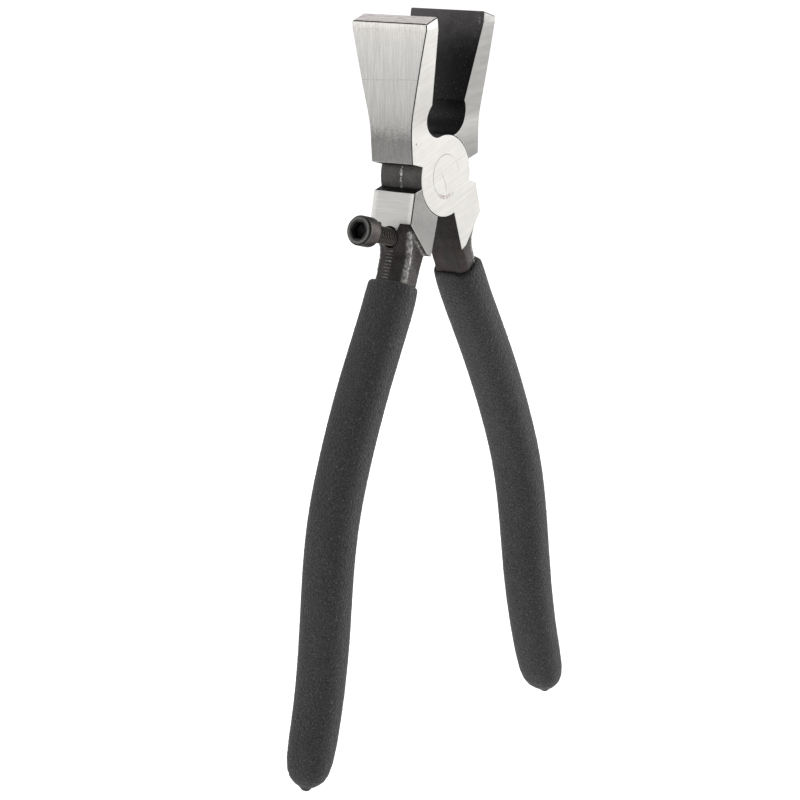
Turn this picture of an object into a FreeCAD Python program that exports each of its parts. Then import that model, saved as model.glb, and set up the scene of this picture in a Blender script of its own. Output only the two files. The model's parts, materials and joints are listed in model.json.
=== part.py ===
import FreeCAD, Part
import math
import os

# Running pliers with a full lap joint.
# Frame: the pivot axis is the Y axis, the origin is the middle of the flush rivet head on the
# front ground face, +Y runs to the rear and +Z up towards the jaws.  The halves stand open.
# Lengths are in millimetres, angles in degrees.  Outlines are written for the right-hand side
# (X > 0) about the joint's mid-plane, and the left-hand side is their mirror image.

# ---- joint ----
HALF_THICK = 7.15          # half the joint's thickness
DISC_R = 11.5              # lap disc of each half
LAP_GAP = 0.03             # air between a lap face and the mid-plane
ARC_R = 11.75              # hollow arc around the other half's disc
TRIM = 40.0                # half size of the oversize blocks used for trimming
TOLERANCE = 0.01           # for telling edges apart by their place

# ---- rivet ----
RIVET_SHANK_R = 4.5
RIVET_HEAD_R = 6.02
RIVET_SINK = 2.6           # depth of the countersunk head
RIVET_RUNNING = 0.03       # radial running clearance in the front half

# ---- jaw outline, in XZ ----
JAW_HEEL = (15.64, 4.87)   # outer face meets the underside
JAW_FOOT = (10.6, 3.52)    # underside, carried inside the disc
JAW_BULGE = (16.40, 25.0)  # a point on the slightly convex outer face
JAW_TOP_OUT = (16.24, 43.88)
JAW_TOP_IN = (11.2, 45.48)
JAW_CUSP = (7.70, 20.60)   # inner face meets the round hollow
HOLLOW_SIDE = (9.08, 16.2)
HOLLOW_LOW = (4.00, 11.12)
HOLLOW_END = (2.20, 11.15)  # carried inside the disc
JAW_ROOT = (2.20, 8.60)

# ---- jaw width, in YZ ----
FLARE_TOP = (12.85, 42.2)   # half width and height; above this the sides are upright
FLARE_ANGLE = 12.0         # slope of each side from the vertical
FLARE_R = 34.0             # radius that leads from the joint's sides into the slope
JAW_CORNER_R = 0.7

# ---- shoulder outline, in XZ ----
SHOULDER = [
    (10.6, -2.32),         # top edge, carried inside the disc
    (14.64, -3.35),        # top outer corner
    (16.70, -11.69),       # lower end of the ground outer face
    (11.47, -18.30),       # slanted end of the ground side faces
    (9.40, -20.90),
    (7.45, -21.93),        # tip of the ground side faces
    (3.20, -8.70),         # inner arm face, carried inside the disc
]
GROUND_OUTER = ((14.64, -3.35), (16.70, -11.69))
GROUND_RUNOUT = 8.0        # the grinding plane ends this far below the face, clear of the arm

# ---- arm ----
# Centreline stations in XZ with the section there: half width across the arm, half depth in Y,
# half width of the trimmed flat on the outer line, and the outer corner's setback and half depth.
ARM = [
    ((10.45, -9.5), 7.10, 7.10, 3.2, 0.9, 6.8),
    ((11.10, -14.5), 6.15, 6.75, 2.5, 1.7, 6.1),
    ((11.80, -18.5), 5.45, 6.30, 1.7, 2.3, 5.5),
    ((12.75, -22.2), 4.75, 5.95, 1.3, 2.5, 5.1),
    ((14.05, -25.5), 4.60, 5.90, 1.3, 2.5, 5.0),
    ((17.30, -33.2), 4.60, 5.90, 1.3, 2.5, 5.0),
    ((21.60, -41.4), 4.60, 5.90, 1.3, 2.5, 5.0),
    ((30.50, -57.7), 4.60, 5.90, 1.3, 2.5, 5.0),
    ((38.50, -75.0), 4.60, 5.90, 1.3, 2.5, 5.0),
    ((44.20, -91.0), 4.60, 5.90, 1.3, 2.5, 5.0),
    ((47.45, -108.0), 4.55, 5.85, 1.3, 2.5, 5.0),
    ((49.60, -126.0), 4.45, 5.75, 1.3, 2.4, 4.9),
    ((53.20, -145.0), 4.25, 5.60, 1.3, 2.3, 4.7),
    ((56.60, -157.0), 4.00, 5.40, 1.2, 2.2, 4.5),
    ((57.70, -160.6), 2.60, 3.80, 0.8, 1.4, 3.1),
]
ARM_INNER_SETBACK = 2.0    # where the side face starts, from the inner face
ARM_INNER_DEPTH = 0.72     # half depth of the inner face, as a share of the section's
ARM_CORNER_R = 0.7

# ---- grip sleeve ----
# Height of each station on the arm's centreline, half width and half depth of the sleeve.
# The sleeve runs straight from one station to the next and is smooth around its section.
GRIP = [
    (-27.6, 5.45, 6.75),
    (-28.3, 5.95, 7.15),
    (-31.5, 6.10, 7.30),
    (-60.0, 6.15, 7.35),
    (-100.0, 6.05, 7.30),
    (-125.0, 5.95, 7.20),
    (-152.0, 5.55, 6.95),
    (-157.5, 5.30, 6.65),
    (-160.5, 4.75, 6.05),
    (-162.6, 3.85, 5.00),
    (-164.0, 2.60, 3.40),
    (-164.8, 1.40, 1.80),
    (-165.8, 0.80, 1.00),
]
LEFT_COLLAR_DROP = 1.55    # the left sleeve was dipped this much less far up its arm
GRIP_STEP = 5.0            # longest distance between two rings of the sleeve
GRIP_TAIL = (59.0, -166.0)
GRIP_POWER = 2.4           # roundness of the section: 2 is an ellipse
GRIP_RING_POINTS = 28

# ---- adjusting screw, M5 socket head ----
SCREW_ENTRY = (-17.2, -15.65)   # the axis at the arm's outer line, left-hand side
SCREW_TILT = 14.5          # the axis falls this much on its way in
SCREW_EXPOSED = 9.66       # from the head's underside to the arm's outer line
SCREW_LENGTH = 20.0
SCREW_HEAD_R = 4.25
SCREW_HEAD_H = 5.0
SCREW_HEAD_CHAMFER = 0.45
SCREW_SEAT_CHAMFER = 0.25  # under the head
SCREW_CREST_R = 2.48
SCREW_ROOT_R = 2.02
SCREW_PITCH = 0.8
SCREW_CREST_FLAT = 0.112   # width of the flat on each thread ridge
SCREW_HEX = 4.0
SCREW_HEX_DEPTH = 2.6
TAPPED_R = 2.55
TAPPED_LEAD = 8.0          # the hole's cutter starts this far outside the arm
TAPPED_REACH = 30.0

AXIS_Y = FreeCAD.Vector(0, 1, 0)
AXIS_Z = FreeCAD.Vector(0, 0, 1)


def at(point, y=0.0):
    """A point of an XZ outline, at depth y."""
    return FreeCAD.Vector(point[0], y, point[1])


def line(a, b):
    return Part.makeLine(a, b)


def arc(a, b, c):
    return Part.Arc(a, b, c).toShape()


def prism(edges, direction):
    """A solid swept from a closed chain of edges."""
    wire = Part.Wire(Part.__sortEdges__(edges))
    return Part.Face(wire).extrude(direction)


def mirror_x(shape):
    return shape.mirror(FreeCAD.Vector(0, 0, 0), FreeCAD.Vector(1, 0, 0))


def disc(radius, y_low, y_high):
    return Part.makeCylinder(radius, y_high - y_low, FreeCAD.Vector(0, y_low, 0), AXIS_Y)


def jaw():
    """Right-hand jaw at full width: the XZ outline inside the YZ flare."""
    y = -TRIM
    outline = [
        arc(at(JAW_HEEL, y), at(JAW_BULGE, y), at(JAW_TOP_OUT, y)),
        line(at(JAW_TOP_OUT, y), at(JAW_TOP_IN, y)),
        line(at(JAW_TOP_IN, y), at(JAW_CUSP, y)),
        arc(at(JAW_CUSP, y), at(HOLLOW_SIDE, y), at(HOLLOW_LOW, y)),
        line(at(HOLLOW_LOW, y), at(HOLLOW_END, y)),
        line(at(HOLLOW_END, y), at(JAW_ROOT, y)),
        line(at(JAW_ROOT, y), at(JAW_FOOT, y)),
        line(at(JAW_FOOT, y), at(JAW_HEEL, y)),
    ]
    side = prism(outline, FreeCAD.Vector(0, 2 * TRIM, 0))

    def on_flare(sign, half_width, z):
        return FreeCAD.Vector(0, sign * half_width, z)

    slope = math.radians(FLARE_ANGLE)
    corner_z = FLARE_TOP[1] - (FLARE_TOP[0] - HALF_THICK) / math.tan(slope)
    start_z = corner_z - FLARE_R * math.tan(slope / 2)
    top = JAW_TOP_IN[1] + 5.0
    low = JAW_FOOT[1] - 5.0

    def on_lead(sign, turned):
        """A point of the lead-in arc, where the side has turned by an angle."""
        half_width = HALF_THICK + FLARE_R * (1 - math.cos(turned))
        return on_flare(sign, half_width, start_z + FLARE_R * math.sin(turned))

    flare = []
    for sign in (-1, 1):
        upright = on_flare(sign, *FLARE_TOP)
        flare.append(line(on_flare(sign, HALF_THICK, low), on_lead(sign, 0)))
        flare.append(arc(on_lead(sign, 0), on_lead(sign, slope / 2), on_lead(sign, slope)))
        flare.append(line(on_lead(sign, slope), upright))
        flare.append(line(upright, on_flare(sign, FLARE_TOP[0], top)))
    flare.append(line(on_flare(-1, HALF_THICK, low), on_flare(1, HALF_THICK, low)))
    flare.append(line(on_flare(-1, FLARE_TOP[0], top), on_flare(1, FLARE_TOP[0], top)))
    front = prism(flare, FreeCAD.Vector(TRIM, 0, 0))
    return soften_jaw(side.common(front))


def soften_jaw(solid):
    """Round the two short edges where the jaw's top face meets its sides."""
    edges = []
    for edge in solid.Edges:
        box = edge.BoundBox
        off_side = abs(abs(box.Center.y) - FLARE_TOP[0])
        on_side = off_side < TOLERANCE and box.YLength < TOLERANCE
        on_top = box.ZMin > JAW_TOP_OUT[1] - TOLERANCE
        upright = box.XLength < TOLERANCE
        if on_side and on_top and not upright:
            edges.append(edge)
    return solid.makeFillet(JAW_CORNER_R, edges)


def shoulder():
    """Right-hand shoulder at the joint's full thickness."""
    points = [at(p, -HALF_THICK) for p in SHOULDER]
    edges = [line(a, b) for a, b in zip(points, points[1:] + points[:1])]
    return prism(edges, FreeCAD.Vector(0, 2 * HALF_THICK, 0))


def outside_ground_outer():
    """The oversize block that grinding takes away outside the shoulder's outer face."""
    top = at(GROUND_OUTER[0], -TRIM)
    low = at(GROUND_OUTER[1], -TRIM)
    along = (low - top).normalize()
    a = top - along * TRIM
    b = low + along * GROUND_RUNOUT
    outward = FreeCAD.Vector(TRIM, 0, 0)
    corners = [a, b, b + outward, a + outward]
    edges = [line(p, q) for p, q in zip(corners, corners[1:] + corners[:1])]
    return prism(edges, FreeCAD.Vector(0, 2 * TRIM, 0))


def centreline():
    curve = Part.BSplineCurve()
    curve.interpolate([at(station[0]) for station in ARM] + [at(GRIP_TAIL)])
    return curve


def frame_on(curve, point):
    """Centre and outward unit vector of the section plane nearest to a point of the curve."""
    u = curve.parameter(point)
    tangent = curve.tangent(u)[0]
    if tangent.z > 0:
        tangent = tangent * -1
    outward = AXIS_Y.cross(tangent) * -1
    if outward.x < 0:
        outward = outward * -1
    return curve.value(u), outward


def rounded_ring(centre, outward, corners, radius):
    """A closed ring of straight sides with a small arc at each corner."""
    points = [centre + outward * u + AXIS_Y * y for u, y in corners]
    count = len(points)
    starts = []
    middles = []
    ends = []
    for i in range(count):
        here = points[i]
        back = (points[i - 1] - here).normalize()
        ahead = (points[(i + 1) % count] - here).normalize()
        half = back.getAngle(ahead) / 2
        bisector = (back + ahead).normalize()
        reach = radius / math.tan(half)
        starts.append(here + back * reach)
        ends.append(here + ahead * reach)
        middles.append(here + bisector * (radius / math.sin(half) - radius))
    edges = []
    for i in range(count):
        edges.append(arc(starts[i], middles[i], ends[i]))
        edges.append(line(ends[i], starts[(i + 1) % count]))
    return Part.Wire(edges)


def arm():
    """Right-hand forged arm: flat on its trimmed outer line, faceted at the sides."""
    curve = centreline()
    rings = []
    for point, half_width, half_depth, flat, setback, corner_depth in ARM:
        centre, outward = frame_on(curve, at(point))
        inner_depth = ARM_INNER_DEPTH * half_depth
        upper = [
            (half_width, flat),
            (half_width - setback, corner_depth),
            (-half_width + ARM_INNER_SETBACK, half_depth),
            (-half_width, inner_depth),
        ]
        lower = [(u, -y) for u, y in reversed(upper)]
        rings.append(rounded_ring(centre, outward, upper + lower, ARM_CORNER_R))
    return Part.makeLoft(rings, True, False)


def superellipse_ring(centre, outward, half_width, half_depth):
    """A smooth closed ring between an ellipse and a rectangle."""
    points = []
    for i in range(GRIP_RING_POINTS):
        angle = 2 * math.pi * i / GRIP_RING_POINTS
        c = math.cos(angle)
        s = math.sin(angle)
        u = math.copysign(abs(c) ** (2 / GRIP_POWER), c) * half_width
        y = math.copysign(abs(s) ** (2 / GRIP_POWER), s) * half_depth
        points.append(centre + outward * u + AXIS_Y * y)
    curve = Part.BSplineCurve()
    curve.interpolate(points, PeriodicFlag=True)
    return Part.Wire(curve.toShape())


def point_at_height(curve, z):
    """The centreline's point at height z, by bisection."""
    low = curve.FirstParameter
    high = curve.LastParameter
    for _ in range(50):
        middle = (low + high) / 2
        if curve.value(middle).z > z:
            low = middle
        else:
            high = middle
    return curve.value(low)


def sleeve_stations(collar_drop):
    """The grip's stations with more between them, none further apart than the step."""
    lowered = [(z - collar_drop, u, y) for z, u, y in GRIP[:3]] + GRIP[3:]
    stations = []
    for above, below in zip(lowered, lowered[1:]):
        parts = math.ceil((above[0] - below[0]) / GRIP_STEP)
        for i in range(parts):
            share = i / parts
            stations.append([a + (b - a) * share for a, b in zip(above, below)])
    return stations + [list(GRIP[-1])]


def grip(arm_solid, collar_drop):
    """Right-hand dipped sleeve, closed at its end and open at the collar."""
    curve = centreline()
    rings = []
    for z, half_width, half_depth in sleeve_stations(collar_drop):
        centre, outward = frame_on(curve, point_at_height(curve, z))
        rings.append(superellipse_ring(centre, outward, half_width, half_depth))
    return Part.makeLoft(rings, True, True).cut(arm_solid)


def rivet(growth=0.0):
    """Flush rivet: a shank between two countersunk heads.  Growth is radial."""
    reach = HALF_THICK
    sunk = reach - RIVET_SINK
    shank_r = RIVET_SHANK_R + growth
    head_r = RIVET_HEAD_R + growth
    profile = [
        (0, -reach),
        (head_r, -reach),
        (shank_r, -sunk),
        (shank_r, sunk),
        (head_r, reach),
        (0, reach),
    ]
    points = [FreeCAD.Vector(r, y, 0) for r, y in profile]
    edges = [line(a, b) for a, b in zip(points, points[1:] + points[:1])]
    face = Part.Face(Part.Wire(edges))
    return face.revolve(FreeCAD.Vector(0, 0, 0), AXIS_Y, 360)


def half(arm_solid, rivet_growth):
    """One half: jaw on the left, lap disc in front, shoulder and arm on the right."""
    handle = shoulder().fuse(arm_solid).cut(outside_ground_outer())
    thick = mirror_x(jaw()).fuse(handle)
    # The other half's disc turns in this hollow, which also clears the arm's top ring.
    thick = thick.cut(disc(ARC_R, -LAP_GAP, TRIM))
    body = thick.fuse(disc(DISC_R, -HALF_THICK, -LAP_GAP))
    body = body.cut(rivet(rivet_growth))
    return body.removeSplitter()


def screw_axis():
    tilt = math.radians(SCREW_TILT)
    return FreeCAD.Vector(math.cos(tilt), 0, -math.sin(tilt))


def screw():
    """Socket head cap screw built along +Z with the head's underside at zero."""
    r = SCREW_HEAD_R
    c = SCREW_HEAD_CHAMFER
    seat = SCREW_SEAT_CHAMFER
    h = SCREW_HEAD_H
    profile = [(0, h), (r - c, h), (r, h - c), (r, seat), (r - seat, 0)]
    depth = SCREW_CREST_R - SCREW_ROOT_R
    half_ridge = (SCREW_PITCH - SCREW_CREST_FLAT) / 2
    profile.append((SCREW_CREST_R, 0))
    z = -SCREW_PITCH
    while z > -SCREW_LENGTH + SCREW_PITCH:
        profile.append((SCREW_CREST_R, z + half_ridge))
        profile.append((SCREW_ROOT_R, z))
        profile.append((SCREW_CREST_R, z - half_ridge))
        z -= SCREW_PITCH
    profile.append((SCREW_CREST_R, -SCREW_LENGTH + depth))
    profile.append((SCREW_ROOT_R, -SCREW_LENGTH))
    profile.append((0, -SCREW_LENGTH))
    points = [FreeCAD.Vector(x, 0, z) for x, z in profile]
    edges = [line(a, b) for a, b in zip(points, points[1:] + points[:1])]
    body = Part.Face(Part.Wire(edges)).revolve(FreeCAD.Vector(0, 0, 0), AXIS_Z, 360)

    hex_r = SCREW_HEX / math.sqrt(3)
    corners = []
    for i in range(6):
        angle = math.radians(60 * i)
        corners.append(FreeCAD.Vector(hex_r * math.cos(angle), hex_r * math.sin(angle), h))
    edges = [line(a, b) for a, b in zip(corners, corners[1:] + corners[:1])]
    socket = prism(edges, FreeCAD.Vector(0, 0, -SCREW_HEX_DEPTH))
    body = body.cut(socket)

    head = at(SCREW_ENTRY) - screw_axis() * SCREW_EXPOSED
    turn = FreeCAD.Rotation(AXIS_Z, screw_axis() * -1)
    body.Placement = FreeCAD.Placement(head, turn)
    return body


def tapped_hole():
    start = at(SCREW_ENTRY) - screw_axis() * TAPPED_LEAD
    return Part.makeCylinder(TAPPED_R, TAPPED_REACH, start, screw_axis())


def turned_half_way(shape):
    """The same shape turned half a turn about the vertical."""
    copy = shape.copy()
    copy.rotate(FreeCAD.Vector(0, 0, 0), AXIS_Z, 180)
    return copy


def export(name, shape):
    """Write one node, moved so that the front ground face is at Y = 0."""
    solids = shape.Solids
    moved = solids[0] if len(solids) == 1 else Part.makeCompound(solids)
    moved = moved.copy()
    moved.translate(FreeCAD.Vector(0, HALF_THICK, 0))
    moved.exportStep("parts/" + name + ".step")
    print(name, "solids", len(solids), "valid", moved.isValid(), "mm3", round(moved.Volume, 1))


def main():
    os.makedirs("parts", exist_ok=True)
    arm_solid = arm()
    front = half(arm_solid, RIVET_RUNNING)
    rear = turned_half_way(half(arm_solid, 0.0)).cut(tapped_hole())
    export("front_half", front)
    export("rear_half", rear)
    export("pivot_rivet", rivet())
    export("adjusting_screw", screw())
    export("right_grip", grip(arm_solid, 0.0))
    export("left_grip", turned_half_way(grip(arm_solid, LEFT_COLLAR_DROP)))


main()
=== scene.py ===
import json
import math

import bmesh
import bpy
from mathutils import Matrix, Vector, kdtree, noise
from mathutils.bvhtree import BVHTree


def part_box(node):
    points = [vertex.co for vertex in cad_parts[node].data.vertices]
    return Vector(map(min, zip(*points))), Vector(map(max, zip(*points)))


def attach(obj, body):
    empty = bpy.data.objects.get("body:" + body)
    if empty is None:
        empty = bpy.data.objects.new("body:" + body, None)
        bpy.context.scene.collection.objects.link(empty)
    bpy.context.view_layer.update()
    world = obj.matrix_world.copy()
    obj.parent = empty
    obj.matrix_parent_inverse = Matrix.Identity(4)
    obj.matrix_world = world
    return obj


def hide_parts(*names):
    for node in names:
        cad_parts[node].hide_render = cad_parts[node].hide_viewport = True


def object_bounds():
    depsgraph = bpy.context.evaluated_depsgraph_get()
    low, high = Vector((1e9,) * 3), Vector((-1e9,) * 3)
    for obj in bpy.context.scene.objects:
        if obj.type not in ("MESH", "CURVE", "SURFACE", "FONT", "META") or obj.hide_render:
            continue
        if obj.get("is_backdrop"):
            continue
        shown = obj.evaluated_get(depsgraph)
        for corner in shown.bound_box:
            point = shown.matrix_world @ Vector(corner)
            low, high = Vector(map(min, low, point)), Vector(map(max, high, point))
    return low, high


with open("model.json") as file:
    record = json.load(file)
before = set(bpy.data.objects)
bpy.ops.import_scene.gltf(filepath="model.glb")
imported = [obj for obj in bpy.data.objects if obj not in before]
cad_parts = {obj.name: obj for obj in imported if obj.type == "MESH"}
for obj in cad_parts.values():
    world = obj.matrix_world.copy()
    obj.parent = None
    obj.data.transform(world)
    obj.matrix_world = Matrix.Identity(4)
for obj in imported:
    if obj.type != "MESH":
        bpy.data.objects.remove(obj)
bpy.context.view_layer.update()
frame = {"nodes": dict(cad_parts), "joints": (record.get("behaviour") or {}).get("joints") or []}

# Running pliers: two bright-ground steel halves with black forging skin, a flush rivet, a black
# socket head screw and two dipped foam grips.
# The frame is in metres.  Dimensions below are in millimetres and are multiplied by MM.
# Each half is worked on in its own space: the origin on the pivot axis at the joint's mid-plane,
# the jaw at -X, the lap disc at -Y and the arm at +X.  The rear half is the same, turned half way.

MM = 0.001
HALF_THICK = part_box("pivot_rivet")[1].y / 2 / MM
MID_PLANE = Matrix.Translation((0, HALF_THICK * MM, 0))
HALF_SPACE = {
    "front_half": MID_PLANE,
    "rear_half": MID_PLANE @ Matrix.Rotation(math.pi, 4, "Z"),
}

# ---- shape of a half, for telling its faces apart ----
DISC_R = 11.5                # the lap disc
JAW_FOOT_Z = 3.0             # the jaw is above this
JAW_TOP_Z = 43.0
JAW_INNER_X = -11.5          # the jaw's outer face is further out than this
BLOCK_PLANE = (Vector((0.9708, 0, 0.2398)), 13.41)   # the shoulder's ground outer face
BLOCK_LOW_Z = -14.5
ARM_TOP_Z = -8.0
LAP_Y = -0.03                # the lap faces stand this far off the mid-plane

# ---- worked edges and skins ----
WELD = 0.002                 # CAD vertices closer than this are one
SLIVER = 0.008               # triangles thinner than this are collapsed
SCALE_EDGE = 0.24            # chamfer left in black scale beside the outer faces
HIGHLIGHT_ROUND_WIDTH = 0.10             # tiny round on the other ground edges, coloured as a painted highlight
HIGHLIGHT_ROUND_TURN = math.radians(25)  # edges that turn less than this get no round
COLLAR_LOW_Z = -34.0         # the arm below this is inside its grip
REFINE_ROUNDS = 9
SKIN_STEP = 0.50             # mesh size of the forging skin
OXIDE_STEP = 0.80
LADDER_STEP = 0.20
LADDER_TOP_Z = -16.6         # the ladder of tool marks on the arm's outer flat
LADDER_PITCH = 0.9
LADDER_HALF_WIDTH = 1.35
LADDER_HEIGHT = 0.16
RIDGE_REACH = 1.7            # half width of the crumbly ridge along the arm's outer corners
RIDGE_HEIGHT = 0.22
BORE_R = 2.55                # the tapped hole
MOUTH_R = 2.98               # the tapped hole's worn mouth
RIVET_REACH = 6.5            # the rivet's bore lies within this radius and stays smooth


def smooth(value, low, high):
    """0 below low, 1 above high, and an S-curve between them."""
    t = (value - low) / (high - low)
    t = min(1.0, max(0.0, t))
    return t * t * (3 - 2 * t)


# ---------------------------------------------------------------- materials

class Surface:
    """A principled material whose textures are laid out in millimetres of the object's space."""

    def __init__(self, name):
        self.material = bpy.data.materials.new(name)
        self.material.use_nodes = True
        self.nodes = self.material.node_tree.nodes
        self.links = self.material.node_tree.links
        self.bsdf = self.nodes["Principled BSDF"]
        place = self.nodes.new("ShaderNodeTexCoord").outputs["Object"]
        scale = self.nodes.new("ShaderNodeVectorMath")
        scale.operation = "SCALE"
        scale.inputs["Scale"].default_value = 1 / MM
        self.links.new(place, scale.inputs[0])
        self.place = scale.outputs[0]
        split = self.nodes.new("ShaderNodeSeparateXYZ")
        self.links.new(self.place, split.inputs[0])
        self.x, self.y, self.z = split.outputs

    def put(self, socket, value):
        if isinstance(value, bpy.types.NodeSocket):
            self.links.new(value, socket)
        elif isinstance(value, tuple) and len(value) == 3 and socket.type == "RGBA":
            socket.default_value = (*value, 1)
        else:
            socket.default_value = value

    def math(self, operation, a, b=0.0):
        node = self.nodes.new("ShaderNodeMath")
        node.operation = operation
        self.put(node.inputs[0], a)
        self.put(node.inputs[1], b)
        return node.outputs[0]

    def product(self, *values):
        result = values[0]
        for value in values[1:]:
            result = self.math("MULTIPLY", result, value)
        return result

    def total(self, *values):
        result = values[0]
        for value in values[1:]:
            result = self.math("ADD", result, value)
        return result

    def step(self, value, low, high, start=0.0, end=1.0):
        """An S-curve from start to end as the value goes from low to high."""
        node = self.nodes.new("ShaderNodeMapRange")
        node.interpolation_type = "SMOOTHSTEP"
        settings = (value, low, high, start, end)
        for socket, setting in zip(node.inputs, settings):
            self.put(socket, setting)
        return node.outputs[0]

    def band(self, value, centre, half_width, softness):
        """1 within half_width of the centre, falling to 0 over the softness."""
        away = self.math("ABSOLUTE", self.math("SUBTRACT", value, centre))
        return self.step(away, half_width, half_width + softness, 1.0, 0.0)

    def stretched(self, size, turn=(0, 0, 0), place=None):
        """Coordinates for a grain of that size in mm, turned by these degrees."""
        node = self.nodes.new("ShaderNodeMapping")
        node.vector_type = "TEXTURE"
        self.put(node.inputs["Vector"], place or self.place)
        node.inputs["Rotation"].default_value = [math.radians(a) for a in turn]
        node.inputs["Scale"].default_value = size
        return node.outputs[0]

    def grain(self, size, turn=(0, 0, 0), detail=2.0, rough=0.5, place=None):
        """Noise from 0 to 1 with grains of that size in mm."""
        if not isinstance(size, tuple):
            size = (size, size, size)
        node = self.nodes.new("ShaderNodeTexNoise")
        node.inputs["Scale"].default_value = 1.0
        node.inputs["Detail"].default_value = detail
        node.inputs["Roughness"].default_value = rough
        self.put(node.inputs["Vector"], self.stretched(size, turn, place))
        return node.outputs[0]

    def cells(self, size):
        """Distance from the middle of the nearest of many cells of that size in mm."""
        node = self.nodes.new("ShaderNodeTexVoronoi")
        node.inputs["Scale"].default_value = 1.0
        self.put(node.inputs["Vector"], self.stretched((size, size, size)))
        return node.outputs["Distance"]

    def mix(self, factor, a, b):
        node = self.nodes.new("ShaderNodeMix")
        node.data_type = "RGBA"
        self.put(node.inputs[0], factor)
        self.put(node.inputs[6], a)
        self.put(node.inputs[7], b)
        return node.outputs[2]

    def ramp(self, value, stops):
        """A colour that changes with the value; stops are (value, colour) in rising order."""
        low = stops[0][0]
        span = stops[-1][0] - low
        node = self.nodes.new("ShaderNodeValToRGB")
        elements = node.color_ramp.elements
        while len(elements) < len(stops):
            elements.new(0.5)
        for element, (at, colour) in zip(elements, stops):
            element.position = (at - low) / span
            element.color = (*colour, 1)
        share = self.math("DIVIDE", self.math("SUBTRACT", value, low), span)
        self.put(node.inputs[0], share)
        return node.outputs[0]

    def shade(self, colour, amount):
        """The colour times an amount."""
        node = self.nodes.new("ShaderNodeVectorMath")
        node.operation = "SCALE"
        self.put(node.inputs[0], colour)
        self.put(node.inputs["Scale"], amount)
        return node.outputs[0]

    def lighten(self, colour, amount):
        """The colour plus an amount."""
        node = self.nodes.new("ShaderNodeVectorMath")
        self.put(node.inputs[0], colour)
        self.put(node.inputs[1], amount)
        return node.outputs[0]

    def attribute(self, name):
        """A value kept on the mesh's vertices."""
        node = self.nodes.new("ShaderNodeAttribute")
        node.attribute_name = name
        return node.outputs["Fac"]

    def swing_of(self, value, swing):
        """The noise value's distance from its middle, times the swing."""
        return self.math("MULTIPLY", self.math("SUBTRACT", value, 0.5), swing)

    def wave_of(self, value, swing):
        """1 plus the swing of the noise value."""
        return self.math("ADD", 1.0, self.swing_of(value, swing))

    def length_of(self, a, b):
        return self.math("SQRT", self.total(self.product(a, a), self.product(b, b)))

    def finish(self, colour, roughness, metallic, height=None, depth=0.02, **inputs):
        """Wires the principled shader; height is a bump of depth mm."""
        self.put(self.bsdf.inputs["Base Color"], colour)
        self.put(self.bsdf.inputs["Roughness"], roughness)
        self.put(self.bsdf.inputs["Metallic"], metallic)
        for name, value in inputs.items():
            self.put(self.bsdf.inputs[name.replace("_", " ")], value)
        if height is not None:
            bump = self.nodes.new("ShaderNodeBump")
            bump.inputs["Distance"].default_value = depth * MM
            self.put(bump.inputs["Height"], height)
            self.links.new(bump.outputs[0], self.bsdf.inputs["Normal"])
        return self.material


def grey(value, warmth=0.03):
    """A slightly warm grey."""
    return (value, value * (1 - warmth * 0.6), value * (1 - warmth * 1.6))


RIVET_R = 6.02
PIT = (-13.8, 10.3)          # a small pit beside the joint, in X and Z
HAIR_MIDDLE_Z = -1.8         # a bent hairline scratch on the rivet


def joint_face(name, turned_behind=False):
    """Bright face ground across the joint: fine diagonal lines, the rivet's outline, a pit."""
    s = Surface(name)
    x = s.x
    if turned_behind:
        # The rivet runs through both halves, and its rear end carries the turned pattern.
        side = s.step(s.y, HALF_THICK - 0.01, HALF_THICK + 0.01, 1.0, -1.0)
        x = s.product(s.x, side)
    join = s.nodes.new("ShaderNodeCombineXYZ")
    s.put(join.inputs[0], x)
    s.put(join.inputs[2], s.z)
    flat = join.outputs[0]
    brush = (0, -19, 0)
    fine = s.grain((22.0, 1.0, 0.28), brush, 3.0, 0.55, flat)
    broad = s.grain((34.0, 1.0, 1.1), brush, 2.0, 0.5, flat)
    cloud = s.grain(5.0, place=flat)
    lines = s.product(s.wave_of(fine, 0.42), s.wave_of(broad, 0.22), s.wave_of(cloud, 0.16))
    tone = s.shade(grey(0.73, 0.040), s.product(lines, s.step(s.z, 8.0, 34.0, 1.0, 1.30)))

    radius = s.length_of(x, s.z)
    broken = s.step(s.grain(2.6, place=flat), 0.42, 0.62)
    ring = s.product(s.band(radius, RIVET_R + 0.03, 0.05, 0.18), broken, 0.50)
    low = s.product(s.band(radius, RIVET_R - 0.07, 0.25, 0.55), s.step(s.z, -5.9, -4.3, 1.0, 0.0))
    stain = s.product(low, s.step(s.grain(0.9, place=flat), 0.30, 0.60), 0.80)
    bent = s.math("DIVIDE", s.math("ADD", s.z, 4.2), 4.9)
    hair = s.band(s.math("ADD", x, s.product(bent, bent, 2.0)), 0.0, 0.04, 0.16)
    hair = s.product(hair, s.band(s.z, HAIR_MIDDLE_Z, 2.3, 0.3), 0.65)
    from_pit = s.length_of(s.math("SUBTRACT", x, PIT[0]), s.math("SUBTRACT", s.z, PIT[1]))
    pit = s.step(from_pit, 0.16, 0.42, 0.75, 0.0)
    tone = s.mix(ring, tone, grey(0.25, 0.1))
    tone = s.mix(stain, tone, (0.30, 0.20, 0.17))
    tone = s.mix(hair, tone, grey(0.22, 0.1))
    tone = s.mix(pit, tone, grey(0.06))
    roughness = s.step(fine, 0.2, 0.8, 0.34, 0.46)
    return s.finish(tone, roughness, 0.92, fine, 0.010)


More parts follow.
